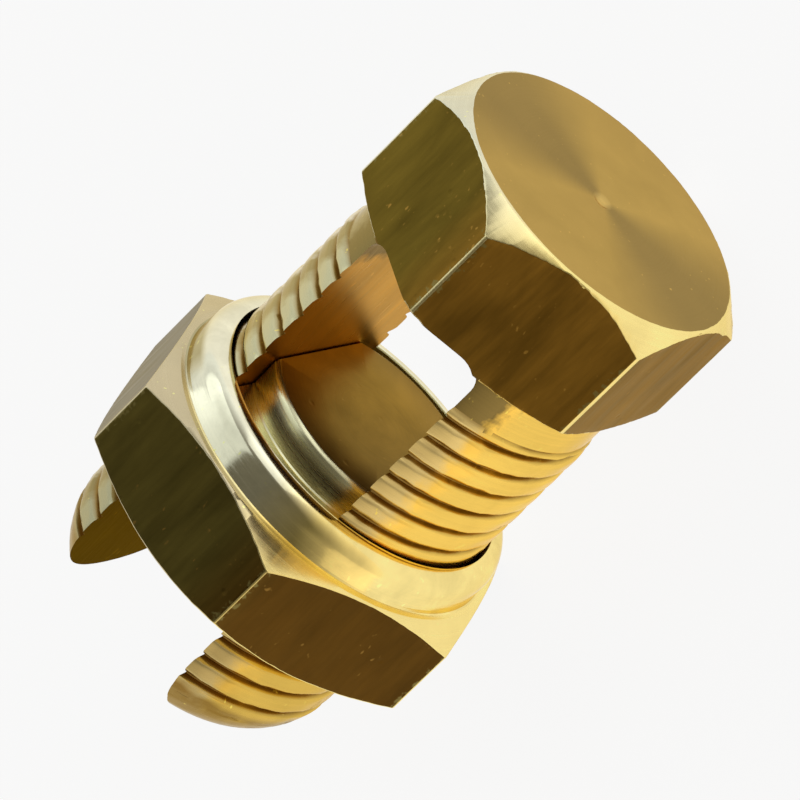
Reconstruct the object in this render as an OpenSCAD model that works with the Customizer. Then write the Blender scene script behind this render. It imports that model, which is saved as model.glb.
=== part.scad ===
// Split bolt connector: a slotted brass bolt, a collared nut and a pressure pad.
// All sizes are in millimetres. The connector lies on a flat of its nut.
// The bolt's axis runs along Y, head towards -Y, and one flat of the nut is at z = 0.

/* [Head] */
// Head, across flats
head_af = 23.8; // [22:0.1:26]
// Head, from its turned face to its underside
head_len = 11; // [9:0.1:14]
// Slope of the bevel round the turned face, in degrees
head_bevel = 45; // [30:1:50]
// Slope of the bevel round the underside, in degrees
under_bevel = 25; // [15:1:35]
// How far the flats stand proud of each turned bevel
face_inset = 0.1; // [0.05:0.05:0.4]
// Turned pip in the middle of the face, across
pip_d = 1.6; // [1:0.1:3]
// Turned pip, depth of its ring
pip_depth = 0.25; // [0.1:0.05:0.5]

/* [Shank and legs] */
// Bolt, overall length
bolt_len = 49.4; // [46:0.1:56]
// Plain neck, length under the head
neck_len = 3; // [2.6:0.1:4]
// Radius of the rounded leg tips
tip_r = 6.6; // [6:0.1:8]

/* [Thread] */
// How far the thread's crests lie inside the head's flats
crest_inset = 0.2; // [0:0.05:0.5]
// How far the plain neck lies inside the thread's crests
neck_inset = 0.3; // [0.1:0.05:0.4]
// Thread pitch
pitch = 2.07; // [1.8:0.01:2.4]
// Depth of the thread groove
groove_depth = 0.62; // [0.5:0.02:0.8]
// Width of the groove at the crest
groove_w = 0.8; // [0.7:0.02:0.95]
// Width of the groove at its root
root_w = 0.16; // [0.1:0.02:0.24]
// Running clearance of the thread, on the radius
thread_gap = 0.12; // [0.08:0.01:0.16]

/* [Slot] */
// Conductor slot, width
slot_w = 12.7; // [11.5:0.1:13.5]
// How far the slot lies off the bolt's axis
slot_shift = 0.45; // [0:0.05:0.6]
// How far the closed end of the slot cuts into the head
slot_rise = 0.65; // [0.4:0.05:1.5]
// Radius of the slot's inner corners
slot_corner = 1.8; // [1:0.1:3]
// Roll of the bolt against the nut's flats, in degrees
bolt_roll = 7; // [0:1:10]

/* [Nut] */
// Ledge between the collar and the nut's flats
ledge = 0.75; // [0.5:0.05:2]
// Nut, length of its hexagon
hex_len = 8.5; // [7:0.1:10]
// Slope of the bevels on both sides of the nut, in degrees
nut_bevel = 29; // [20:1:35]
// Wall of the collar round the seat
collar_wall = 0.75; // [0.6:0.05:1.2]
// Collar, height above the hexagon
collar_h = 3.1; // [2.8:0.1:4]
// Radius of the collar's rolled rim
rim_r = 1.5; // [1:0.1:1.6]
// Clearance of the thread in the collar's mouth, on the radius
mouth_gap = 0.25; // [0.2:0.05:0.4]
// Width of the rolled lip that holds the pad's flange
lip_w = 0.9; // [0.8:0.05:1]
// Thickness of the rolled lip over the seat
lip_t = 1.2; // [1:0.1:1.5]
// Depth that the seat reaches into the hexagon
seat_rise = 0.3; // [0.2:0.1:1]
// Countersink at the outer end of the bore, radial size
bore_bevel = 0.7; // [0.4:0.1:1.2]
// Nut, place along the bolt, from the turned face to the hexagon
nut_place = 29.3; // [28:0.1:32]

/* [Pressure pad] */
// Round ends of the pad, across
pad_d = 18; // [17:0.1:19]
// Height of the pad above the mouth of the collar
pad_proud = 1.35; // [0.8:0.05:2]
// Bevel round the top of the pad
pad_bevel = 0.3; // [0.1:0.05:0.5]
// Side clearance of the pad in the slot
pad_gap = 0.1; // [0.08:0.02:0.2]
// Running clearance of the pad's flange in the nut
seat_gap = 0.12; // [0.1:0.02:0.2]

/* [Hidden] */
// Facets of a round shape
$fn = 96;
// Facets to a turn of the thread
thread_fn = 36;
// Overrun of a cutting shape
over = 1;
// Radius of the thread's crests
crest_r = head_af / 2 - crest_inset;
// Radius of the plain neck
neck_r = crest_r - neck_inset;
// Place of the turned face below the slot's closed end
roof_at = head_len - slot_rise;
// End of the plain neck
neck_end = head_len + neck_len;
// Where the thread's first turn begins, inside the neck
thread_at = neck_end - 1.2 * pitch;
// Centre line of the leg tips' rounding
tip_mid = crest_r + face_inset / 2 - tip_r;
// Where the rounding of the leg tips begins
tip_at = bolt_len - sqrt(tip_r * tip_r - pow(slot_w / 2 - slot_shift - tip_mid, 2));
// Radii of the collar's mouth, the seat inside it and the collar itself
mouth_r = crest_r + mouth_gap;
seat_r = mouth_r + lip_w;
collar_r = seat_r + collar_wall;
// Nut, across flats
nut_af = 2 * (collar_r + ledge);
// Top of the collar
mouth_at = nut_place - collar_h;
// Outer end of the nut
nut_end = nut_place + hex_len;
// Underside of the rolled lip and floor of the seat
lip_at = mouth_at + lip_t;
seat_at = nut_place + seat_rise;
// Top face of the pad
pad_at = mouth_at - pad_proud;
// Radius of the pad's flange
flange_r = seat_r - seat_gap;

// From the bolt's own frame, z from the turned face to the tips, to the part's frame
module lay() {
    translate([0, -bolt_len / 2, nut_af / 2])
        rotate([-90, 0, 0])
            children();
}

// A right-hand threaded rod from z = from up, with its ends inside whole turns
module threaded_rod(from, turns, grow) {
    // A tool with some growth leaves two thirds of it free beside each flank
    widen = grow * ((groove_w - root_w) / groove_depth - 4 / 3);
    top_w = groove_w + widen;
    low_w = root_w + widen;
    crest = crest_r + grow;
    root = crest - groove_depth;
    // The four corners of one turn of the profile, from the root flat up
    prof = [
        [root, 0],
        [root, low_w],
        [crest, (top_w + low_w) / 2],
        [crest, pitch - (top_w - low_w) / 2]
    ];
    m = len(prof);
    steps = turns * thread_fn;
    function at(i, j) = [
        prof[j][0] * cos(360 * i / thread_fn),
        prof[j][0] * sin(360 * i / thread_fn),
        from + pitch * i / thread_fn + prof[j][1]
    ];
    grid = [for (i = [0 : steps]) for (j = [0 : m - 1]) at(i, j)];
    // The last turn's upper edge, which has no profile above it
    rim = [for (i = [steps + 1 : steps + thread_fn]) at(i, 0)];
    ends = [[0, 0, from + pitch / 2], [0, 0, from + pitch * turns + pitch / 2]];
    n = len(grid);
    function gid(i, j) = j == m ? (i + thread_fn <= steps
        ? (i + thread_fn) * m
        : n + i + thread_fn - steps - 1) : i * m + j;
    low = n + len(rim);
    high = low + 1;
    skin = [for (i = [0 : steps - 1]) for (j = [0 : m - 1]) for (k = [0, 1])
        k == 0 ? [gid(i, j), gid(i, j + 1), gid(i + 1, j)]
               : [gid(i + 1, j), gid(i, j + 1), gid(i + 1, j + 1)]];
    low_fan = concat(
        [for (i = [0 : thread_fn - 1]) [low, gid(i, 0), gid(i + 1, 0)]],
        [for (j = [0 : m - 1]) [low, gid(0, j + 1), gid(0, j)]]
    );
    high_fan = concat(
        [for (j = [0 : m - 1]) [high, gid(steps, j), gid(steps, j + 1)]],
        [for (i = [steps : steps + thread_fn - 1])
            [high, i == steps ? steps * m : n + i - steps - 1, n + i - steps]]
    );
    polyhedron(points = concat(grid, rim, ends), faces = concat(skin, low_fan, high_fan));
}

// A hexagon whose corners are turned off by a cone at each end
module turned_hex(af, len, top_bevel, end_bevel) {
    r = af / 2 - face_inset;
    corner = af / sqrt(3) + over;
    rise = (corner - r) * tan(top_bevel);
    fall = (corner - r) * tan(end_bevel);
    intersection() {
        cylinder(h = len, r = af / sqrt(3), $fn = 6);
        rotate_extrude()
            polygon([[0, 0], [r, 0], [corner, rise], [corner, len - fall], [r, len], [0, len]]);
    }
}

module slot_cutter() {
    reach = head_af;
    deep = bolt_len + 4 * over;
    translate([slot_shift - slot_w / 2, -reach, roof_at + slot_corner])
        cube([slot_w, 2 * reach, deep - roof_at]);
    translate([slot_shift - slot_w / 2 + slot_corner, -reach, roof_at])
        cube([slot_w - 2 * slot_corner, 2 * reach, deep - roof_at]);
    for (side = [-1, 1])
        translate([slot_shift + side * (slot_w / 2 - slot_corner), reach, roof_at + slot_corner])
            rotate([90, 0, 0])
                cylinder(h = 2 * reach, r = slot_corner);
}

// A ring that takes the thread's first crests off, down into the plain neck
module crest_cutter() {
    sunk = 0.1;
    translate([0, 0, head_len - over])
        difference() {
            cylinder(h = neck_len + over - sunk / 2, r = crest_r + over);
            translate([0, 0, -over])
                cylinder(h = neck_len + 3 * over, r = neck_r - sunk);
        }
}

// The part of the legs that lies outside their rounded tips
module tip_cutter() {
    rotate_extrude()
        difference() {
            translate([tip_mid, tip_at])
                square([tip_r + 2 * over, bolt_len]);
            translate([tip_mid, tip_at])
                circle(r = tip_r);
        }
}

module split_bolt() {
    turns = ceil((bolt_len - thread_at) / pitch);
    color("goldenrod")
        lay()
            rotate([0, 0, -bolt_roll])
                difference() {
                    union() {
                        rotate([0, 0, 30])
                            turned_hex(head_af, head_len, head_bevel, under_bevel);
                        translate([0, 0, head_len - over])
                            cylinder(h = neck_len + over, r = neck_r);
                        difference() {
                            threaded_rod(thread_at, turns, 0);
                            crest_cutter();
                        }
                    }
                    slot_cutter();
                    tip_cutter();
                    difference() {
                        translate([0, 0, -over])
                            cylinder(h = pip_depth + over, d = pip_d);
                        translate([0, 0, -2 * over])
                            cylinder(h = pip_depth + 3 * over, d = pip_d / 2);
                    }
                }
}

module pressure_pad() {
    width = slot_w - 2 * pad_gap;
    r = pad_d / 2;
    color("peru")
        lay()
            rotate([0, 0, -bolt_roll])
                intersection() {
                    rotate_extrude()
                        polygon([
                            [0, pad_at],
                            [r - pad_bevel, pad_at],
                            [r, pad_at + pad_bevel],
                            [r, lip_at + seat_gap],
                            [flange_r, lip_at + seat_gap],
                            [flange_r, seat_at - seat_gap],
                            [0, seat_at - seat_gap]
                        ]);
                    translate([slot_shift - width / 2, -seat_r, pad_at - over])
                        cube([width, 2 * seat_r, seat_at]);
                }
}

module nut() {
    minor_r = crest_r + thread_gap - groove_depth;
    turns = ceil((hex_len + 4 * over) / pitch);
    // The nut's thread stays in step with the bolt's
    shift = floor((seat_at - thread_at) / pitch) * pitch;
    color("darkgoldenrod")
        lay()
            difference() {
                union() {
                    translate([0, 0, nut_place])
                        turned_hex(nut_af, hex_len, nut_bevel, nut_bevel);
                    rotate_extrude()
                        union() {
                            translate([0, mouth_at])
                                square([collar_r - rim_r, collar_h + over]);
                            translate([0, mouth_at + rim_r])
                                square([collar_r, collar_h - rim_r + over]);
                            translate([collar_r - rim_r, mouth_at + rim_r])
                                circle(r = rim_r);
                        }
                }
                translate([0, 0, mouth_at - over])
                    cylinder(h = lip_t + 2 * over, r = mouth_r);
                translate([0, 0, lip_at])
                    cylinder(h = seat_at - lip_at, r = seat_r);
                rotate([0, 0, -bolt_roll])
                    threaded_rod(thread_at + shift - 2 * pitch, turns + 2, thread_gap);
                // The cone starts inside the bore, so that it cuts the thread cleanly
                translate([0, 0, nut_end - bore_bevel - over])
                    cylinder(h = bore_bevel + 2 * over, r1 = minor_r - over, r2 = minor_r + bore_bevel + over);
            }
}

split_bolt();
pressure_pad();
nut();
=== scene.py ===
"""Split bolt connector: the dressed brass pieces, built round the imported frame."""

import math

import bmesh
import bpy
from mathutils import Matrix, Vector, noise


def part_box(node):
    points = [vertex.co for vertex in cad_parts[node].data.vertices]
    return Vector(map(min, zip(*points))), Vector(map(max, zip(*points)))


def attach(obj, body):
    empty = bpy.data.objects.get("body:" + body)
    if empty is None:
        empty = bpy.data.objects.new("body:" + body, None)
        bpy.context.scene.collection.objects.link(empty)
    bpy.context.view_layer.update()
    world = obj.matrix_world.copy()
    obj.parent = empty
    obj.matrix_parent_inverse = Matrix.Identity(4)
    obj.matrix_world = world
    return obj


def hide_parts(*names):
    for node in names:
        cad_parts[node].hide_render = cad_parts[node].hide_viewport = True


bl_info = {
    "name": "Split bolt connector",
    "version": (1, 0, 0),
    "blender": (4, 5, 0),
    "location": "View3D > Sidebar > Connector",
    "description": "Builds the bolt, the pressure pad and the nut of a brass split bolt connector",
    "category": "Object",
}

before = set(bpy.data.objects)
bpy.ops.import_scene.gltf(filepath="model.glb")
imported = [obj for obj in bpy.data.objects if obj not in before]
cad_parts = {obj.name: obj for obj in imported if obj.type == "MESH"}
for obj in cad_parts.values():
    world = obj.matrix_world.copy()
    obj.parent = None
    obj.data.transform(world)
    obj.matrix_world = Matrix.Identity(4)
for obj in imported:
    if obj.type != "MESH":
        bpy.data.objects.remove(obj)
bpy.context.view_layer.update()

MM = 0.001
TURN = 2 * math.pi
PAD_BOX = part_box("pressure_pad")
NUT_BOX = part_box("nut")
BOLT_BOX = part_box("split_bolt")
# The bolt's axis lies along Y, half the nut's width above the floor
AXIS_HEIGHT = (NUT_BOX[0][2] + NUT_BOX[1][2]) / 2 / MM
FACE_AT = BOLT_BOX[0][1] / MM
BOLT_LENGTH = (BOLT_BOX[1][1] - BOLT_BOX[0][1]) / MM
NUT_WIDTH = (NUT_BOX[1][2] - NUT_BOX[0][2]) / MM
NUT_LOW = NUT_BOX[0][1] / MM - FACE_AT
NUT_HIGH = NUT_BOX[1][1] / MM - FACE_AT
PAD_TOP = PAD_BOX[0][1] / MM - FACE_AT
PAD_FOOT = PAD_BOX[1][1] / MM - FACE_AT

# How far the hexagons' flats stand proud of the turned bevels and faces, in mm
PROUD = 0.1
# Steps in a full turn of the thread, and of the turned pad
THREAD_STEPS = 96
PAD_STEPS = 180
# How far the rows on a hexagon's flats keep from its ragged ends, in mm
ROW_MARGIN = 0.14
# Depth of the nut's seat in its hexagon, in mm
SEAT_RISE = 0.3
# The slot's walls have another finish from this far before the nut's outer face, in mm
TIPS_BEFORE = 1.0
# Distance of the lamps from the part, in metres
LAMP_AWAY = 0.9


# ---------------------------------------------------------------- settings

def length(name, description, default, low, high):
    """The setting of a size in millimetres"""
    return bpy.props.FloatProperty(name=name, description=description, default=default, min=low, max=high)


def slope(name, description, degrees):
    """The setting of an angle, whose default is given in degrees"""
    return bpy.props.FloatProperty(
        name=name, description=description, default=math.radians(degrees), subtype="ANGLE")


def tint(name, description, default):
    """The setting of a colour"""
    return bpy.props.FloatVectorProperty(
        name=name, description=description, default=default, subtype="COLOR")


class ConnectorBoltSizes(bpy.types.PropertyGroup):
    """Sizes of the bolt, in millimetres and radians"""
    head_af: length("Head across flats", "Width of the hexagon", 23.8, 22, 26)
    head_len: length("Head length", "From the turned face to the underside", 11.0, 9, 14)
    bevel: slope("Face bevel", "Slope of the bevel round the face", 45)
    under_bevel: slope("Underside bevel", "Slope of the bevel round the underside", 25)
    corner_round: length("Corner rounding", "Radius of the hexagon's long edges", 0.35, 0.1, 1)
    burr: length("Burr", "Raggedness of the edges that the tool left", 0.13, 0, 0.4)
    neck_d: length("Neck", "Width of the plain neck", 22.8, 20, 24)
    neck_len: length("Neck length", "Length of the plain neck", 3.0, 1, 5)
    thread_d: length("Thread", "Width across the crests", 23.4, 20, 26)
    pitch: length("Pitch", "Rise of one turn of the thread", 2.07, 1.5, 3)
    groove_depth: length("Groove depth", "Depth of the thread groove", 0.62, 0.3, 1)
    groove_w: length("Groove width", "Width of the groove at the crest", 0.8, 0.5, 1.2)
    root_w: length("Root width", "Width of the groove at its root", 0.16, 0.05, 0.4)
    slot_w: length("Slot width", "Gap between the legs", 12.7, 11, 14)
    slot_shift: length("Slot shift", "How far the slot was sawn off the centre", 0.45, 0, 1)
    slot_rise: length("Slot rise", "How far the slot cuts into the head", 0.65, 0, 2)
    slot_corner: length("Slot corner", "Radius of the slot's inner corners", 1.8, 0.5, 3)
    tip_r: length("Tip rounding", "Radius of the rounded tips", 6.6, 5, 8)
    roll: slope("Roll", "Turn of the bolt against the nut's flats", 7)


class ConnectorNutSizes(bpy.types.PropertyGroup):
    """Sizes of the nut, in millimetres and radians"""
    hex_len: length("Hexagon length", "Length of the nut's hexagon", 8.5, 6, 10)
    bevel: slope("Bevel", "Slope of the nut's bevels", 29)
    collar_d: length("Collar", "Width of the collar", 27.2, 26, 28)
    rim_r: length("Rim", "Radius of the collar's rolled rim", 1.5, 0.8, 1.8)
    mouth_d: length("Mouth", "Width of the collar's mouth", 23.9, 23.6, 25)
    seat_d: length("Seat", "Width of the seat under the lip", 25.7, 25, 26)
    lip_t: length("Lip", "Thickness of the rolled lip", 1.2, 0.8, 1.6)
    thread_gap: length("Thread clearance", "Running clearance on the radius", 0.12, 0.05, 0.2)
    bore_bevel: length("Countersink", "Countersink at the bore's outer end", 0.7, 0.3, 1.2)


class ConnectorPadSizes(bpy.types.PropertyGroup):
    """Sizes of the pressure pad, in millimetres"""
    pad_d: length("Pad", "Width across the round ends", 18.0, 16, 19)
    bevel: length("Top bevel", "Bevel round the top", 0.3, 0.1, 0.5)
    side_gap: length("Side clearance", "Clearance of the pad in the slot", 0.1, 0.05, 0.3)
    flange_gap: length("Flange clearance", "Clearance of the flange in the nut", 0.12, 0.05, 0.3)


class ConnectorFinish(bpy.types.PropertyGroup):
    """Colours of the brass where it was worked in different ways, and the painted light in some of them"""
    face: tint("Turned face", "Brass of the turned head face", (0.46, 0.305, 0.088))
    flats: tint("Head flats", "Tarnished brass of the head's drawn flats", (0.145, 0.096, 0.014))
    # Painted warm reflection on the tarnished flats: they are browner towards -X
    flats_warm: tint("Head flats, warm side", "Browner tarnish on the side away from x",
                     (0.235, 0.122, 0.017))
    nut_flats: tint("Nut flats", "Dark tarnish of the nut's flats", (0.125, 0.094, 0.02))
    # Painted warm reflection on the tarnished nut flats: they are browner towards -X
    nut_flats_warm: tint("Nut flats, warm side", "Browner tarnish on the side away from x",
                         (0.102, 0.048, 0.006))
    # The bevels' pale colour towards +X and the gold towards -X, on the bevels and the collar, are partly
    # brass and partly painted cool and warm reflections
    bevel: tint("Bevels", "Pale bright brass of the turned bevels", (0.8, 0.76, 0.56))
    gold: tint("Gold bevels", "Yellower brass of the bevels and the collar", (1.0, 0.8, 0.3))
    # The golden thread towards -X and the paler thread of the other leg towards +X are partly brass and
    # partly painted warm and cool reflections
    thread: tint("Thread", "Golden brass of the thread", (0.95, 0.62, 0.12))
    thread_pale: tint("Pale thread", "Paler brass of the other leg", (0.4, 0.32, 0.14))
    wall: tint("Slot walls", "Sawn brass of the slot's walls", (0.6, 0.3, 0.036))
    pad_top: tint("Pad top", "Brown brass of the pad's top", (0.34, 0.2, 0.036))
    # Painted shade: the pad's top is darker away from x
    pad_shade: tint("Pad top, far side", "Darker brass of the pad's top away from x", (0.2, 0.125, 0.032))
    # The band's pale greenish colour is partly a painted highlight
    pad_band: tint("Pad band", "Greenish pale brass round the pad", (0.90, 0.86, 0.56))
    tips: tint("Slot walls at the tips", "Dirty brass past the nut", (0.075, 0.048, 0.011))
    # The grey of the nut's bevel towards +X is partly a painted cool reflection
    nut_bevel: tint("Nut bevel", "Greyed turned brass", (0.6, 0.51, 0.32))
    # Painted shade: the brass inside the nut's mouth is coloured dark
    inside: tint("Nut inside", "Dull brass inside the nut's mouth", (0.12, 0.072, 0.016))
    # The collar's paler colour towards +X is partly a painted cool reflection
    collar: tint("Collar", "Polished brass of the nut's collar", (0.92, 0.88, 0.66))


# ---------------------------------------------------------------- modelling helpers

def lay_matrix(roll=0.0):
    """From a turned piece's own frame (z along the bolt from its face, in mm) to the model's frame"""
    place = Matrix.Translation((0, FACE_AT * MM, AXIS_HEIGHT * MM))
    return place @ Matrix.Rotation(-TURN / 4, 4, "X") @ Matrix.Rotation(-roll, 4, "Z") @ Matrix.Scale(MM, 4)


def hex_radius(angle, af, rounding):
    """Distance from the axis to a hexagon with rounded corners, with a corner at angle 0"""
    sector = TURN / 6
    off = (angle + sector / 2) % sector - sector / 2
    flat = af / 2 / math.cos(sector / 2 - abs(off))
    mid = (af / 2 - rounding) / math.cos(sector / 2)
    side = mid * math.sin(abs(off))
    if side < rounding / 2:
        arc = mid * math.cos(off) + math.sqrt(rounding ** 2 - side ** 2)
        return min(flat, arc)
    return flat


def hex_angles(fine_step=1.0):
    """Angles round a hexagon, closer together at its corners"""
    half = [0, 0.3, 0.6, 0.9, 1.3]
    a = 2.0
    while a < 29.9:
        half.append(a)
        a += fine_step
    half.append(30)
    sector = [-v for v in reversed(half[1:-1])] + half
    return [math.radians(60 * k + v) for k in range(6) for v in sector]


def place_ring(verts, angles, radius_at, height_at):
    for v, a in zip(verts, angles):
        r = radius_at(a)
        v.co = Vector((r * math.cos(a), r * math.sin(a), height_at(a, r)))


def loft(bm, angles, rings):
    """Draws a skin through rings, each a pair of functions that give radius and height at an angle"""
    ring = bmesh.ops.create_circle(bm, cap_ends=False, radius=1, segments=len(angles))["verts"]
    edges = list(bm.edges)
    place_ring(ring, angles, *rings[0])
    first = ring
    for shape in rings[1:]:
        made = bmesh.ops.extrude_edge_only(bm, edges=edges)["geom"]
        new = {g for g in made if isinstance(g, bmesh.types.BMVert)}
        ring = [e.other_vert(v) for v in ring for e in v.link_edges if e.other_vert(v) in new]
        edges = [g for g in made if isinstance(g, bmesh.types.BMEdge) and set(g.verts) <= new]
        place_ring(ring, angles, *shape)
    return first, ring


def cap(bm, verts, centre):
    """Closes a ring with a fan to a point on the axis"""
    inside = set(verts)
    edges = list({e for v in verts for e in v.link_edges if e.other_vert(v) in inside})
    made = bmesh.ops.extrude_edge_only(bm, edges=edges)
    new = [g for g in made["geom"] if isinstance(g, bmesh.types.BMVert)]
    bmesh.ops.pointmerge(bm, verts=new, merge_co=centre)


def helix(bm, profile, pitch, turns, steps, start):
    """Sweeps one pitch of a thread's profile, (radius, height) pairs, along a right-hand helix"""
    verts = [bm.verts.new((r, 0, start + h)) for r, h in profile]
    edges = [bm.edges.new(pair) for pair in zip(verts, verts[1:])]
    bmesh.ops.spin(
        bm, geom=verts + edges, cent=(0, 0, 0), axis=(0, 0, 1), dvec=(0, 0, pitch / steps),
        angle=TURN * turns, steps=steps * turns, use_merge=False, use_duplicate=False,
    )
    bmesh.ops.remove_doubles(bm, verts=bm.verts, dist=1e-4)


def close_open_ends(bm, middles):
    """Closes each boundary loop with a fan to the nearest of the given points"""
    left = {e for e in bm.edges if e.is_boundary}
    while left:
        loop = {left.pop()}
        grow = set(loop)
        while grow:
            near = {f for e in grow for v in e.verts for f in v.link_edges if f in left}
            left -= near
            loop |= near
            grow = near
        centre = sum((e.verts[0].co for e in loop), Vector()) / len(loop)
        middle = min(middles, key=lambda m: (Vector(m) - centre).length)
        made = bmesh.ops.extrude_edge_only(bm, edges=list(loop))
        new = [g for g in made["geom"] if isinstance(g, bmesh.types.BMVert)]
        bmesh.ops.pointmerge(bm, verts=new, merge_co=middle)


def to_object(bm, name):
    bmesh.ops.recalc_face_normals(bm, faces=bm.faces)
    mesh = bpy.data.meshes.new(name)
    bm.to_mesh(mesh)
    bm.free()
    obj = bpy.data.objects.new(name, mesh)
    bpy.context.scene.collection.objects.link(obj)
    return obj


def combine(obj, tool, operation):
    """Joins or cuts obj with tool, which is used up"""
    step = obj.modifiers.new(operation.title(), "BOOLEAN")
    step.operation = operation
    step.solver = "EXACT"
    step.object = tool
    graph = bpy.context.evaluated_depsgraph_get()
    mesh = bpy.data.meshes.new_from_object(obj.evaluated_get(graph), depsgraph=graph)
    obj.modifiers.clear()
    old = obj.data
    obj.data = mesh
    bpy.data.meshes.remove(old)
    spent = tool.data
    bpy.data.objects.remove(tool)
    bpy.data.meshes.remove(spent)


def finish_piece(obj, matrix, body, nodes, sort_faces, materials, sharp=math.radians(34)):
    """Gives faces their materials, marks sharp edges, lays the piece in place and ties it to the frame"""
    bm = bmesh.new()
    bm.from_mesh(obj.data)
    bmesh.ops.remove_doubles(bm, verts=bm.verts, dist=2e-4)
    bmesh.ops.dissolve_degenerate(bm, edges=bm.edges, dist=1e-4)
    bm.normal_update()
    for f in bm.faces:
        f.smooth = True
        f.material_index = sort_faces(f.calc_center_median(), f.normal)
    for e in bm.edges:
        e.smooth = not e.is_manifold or e.calc_face_angle(0) < sharp
    bmesh.ops.transform(bm, matrix=matrix, verts=bm.verts)
    # Clearing the list resets the faces' numbers, so it comes before the mesh is filled
    obj.data.materials.clear()
    for material in materials:
        obj.data.materials.append(material)
    bm.to_mesh(obj.data)
    bm.free()
    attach(obj, body)
    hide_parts(*nodes)


def grain(point, scale, seed=0.0):
    """Smooth noise from -1 to 1"""
    return noise.noise(Vector(point) * scale + Vector((seed, seed * 1.7, seed * 0.3)))


# ---------------------------------------------------------------- materials

def new_group(name, inputs, outputs):
    group = bpy.data.node_groups.new(name, "ShaderNodeTree")
    for label, kind, value in inputs:
        socket = group.interface.new_socket(name=label, in_out="INPUT", socket_type=kind)
        if value is not None:
            socket.default_value = value
    for label, kind in outputs:
        group.interface.new_socket(name=label, in_out="OUTPUT", socket_type=kind)
    return group, group.nodes.new("NodeGroupInput"), group.nodes.new("NodeGroupOutput")


class Wires:
    """A short hand for placing and linking shader nodes"""

    def __init__(self, tree):
        self.tree = tree

    def put(self, kind, **values):
        node = self.tree.nodes.new(kind)
        for key, value in values.items():
            setattr(node, key, value)
        return node

    def link(self, source, target):
        self.tree.links.new(source, target)

    def maths(self, operation, a, b=None):
        node = self.put("ShaderNodeMath", operation=operation)
        for socket, value in zip(node.inputs, (a, b)):
            if value is None:
                continue
            if isinstance(value, (int, float)):
                socket.default_value = value
            else:
                self.link(value, socket)
        return node.outputs[0]

    def noise(self, vector, scale, detail=4.0, rough=0.55, distort=0.0):
        node = self.put("ShaderNodeTexNoise")
        node.inputs["Scale"].default_value = scale
        node.inputs["Detail"].default_value = detail
        node.inputs["Roughness"].default_value = rough
        node.inputs["Distortion"].default_value = distort
        self.link(vector, node.inputs["Vector"])
        return node.outputs["Fac"]

    def span(self, value, low, high, to_low=0.0, to_high=1.0):
        node = self.put("ShaderNodeMapRange")
        node.inputs["From Min"].default_value = low
        node.inputs["From Max"].default_value = high
        node.inputs["To Min"].default_value = to_low
        node.inputs["To Max"].default_value = to_high
        self.link(value, node.inputs["Value"])
        return node.outputs["Result"]

    def mix(self, factor, a, b):
        node = self.put("ShaderNodeMix", data_type="RGBA")
        for socket, value in ((node.inputs[0], factor), (node.inputs[6], a), (node.inputs[7], b)):
            if isinstance(value, (int, float)):
                socket.default_value = value
            elif isinstance(value, tuple):
                socket.default_value = (*value, 1.0)
            else:
                self.link(value, socket)
        return node.outputs[2]

    def lit(self, colour, amount):
        """The colour made lighter or darker by a factor"""
        node = self.put("ShaderNodeVectorMath", operation="SCALE")
        self.link(colour, node.inputs[0])
        if isinstance(amount, float):
            node.inputs["Scale"].default_value = amount
        else:
            self.link(amount, node.inputs["Scale"])
        return node.outputs[0]

    def scaled(self, vector, scale):
        node = self.put("ShaderNodeVectorMath", operation="MULTIPLY")
        self.link(vector, node.inputs[0])
        node.inputs[1].default_value = scale
        return node.outputs[0]


def axes_group():
    """Where a point lies: distance from the bolt's axis, place along it, across the slot and round it"""
    roll = bpy.context.scene.connector_bolt.roll
    group, ins, outs = new_group(
        "bolt axes",
        [("Vector", "NodeSocketVector", None)],
        [("Radius", "NodeSocketFloat"), ("Along", "NodeSocketFloat"), ("Across", "NodeSocketFloat"),
         ("Side", "NodeSocketFloat"), ("Turn", "NodeSocketFloat")],
    )
    w = Wires(group)
    split = w.put("ShaderNodeSeparateXYZ")
    w.link(ins.outputs["Vector"], split.inputs[0])
    x, along, z = split.outputs
    squares = w.maths("ADD", w.maths("MULTIPLY", x, x), w.maths("MULTIPLY", z, z))
    w.link(w.maths("SQRT", squares), outs.inputs["Radius"])
    w.link(along, outs.inputs["Along"])
    across = w.maths("ADD", w.maths("MULTIPLY", x, math.cos(roll)), w.maths("MULTIPLY", z, math.sin(roll)))
    w.link(across, outs.inputs["Across"])
    w.link(x, outs.inputs["Side"])
    w.link(w.maths("ARCTAN2", z, x), outs.inputs["Turn"])
    return group


def turned_group():
    """Fine rings left by a lathe tool, and a broad uneven tone over them"""
    group, ins, outs = new_group(
        "turned marks",
        [("Vector", "NodeSocketVector", None), ("Pitch", "NodeSocketFloat", 0.22)],
        [("Fine", "NodeSocketFloat"), ("Broad", "NodeSocketFloat")],
    )
    w = Wires(group)
    axes = place_group(w, axes_group, ins.outputs["Vector"])
    line = w.put("ShaderNodeCombineXYZ")
    w.link(w.maths("DIVIDE", axes.outputs["Radius"], ins.outputs["Pitch"]), line.inputs[0])
    w.link(w.maths("DIVIDE", axes.outputs["Along"], ins.outputs["Pitch"]), line.inputs[1])
    w.link(w.noise(line.outputs[0], 1.0, detail=2.0, rough=0.6), outs.inputs["Fine"])
    w.link(w.noise(ins.outputs["Vector"], 0.16, detail=4.0, rough=0.55, distort=0.3), outs.inputs["Broad"])
    return group


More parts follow.
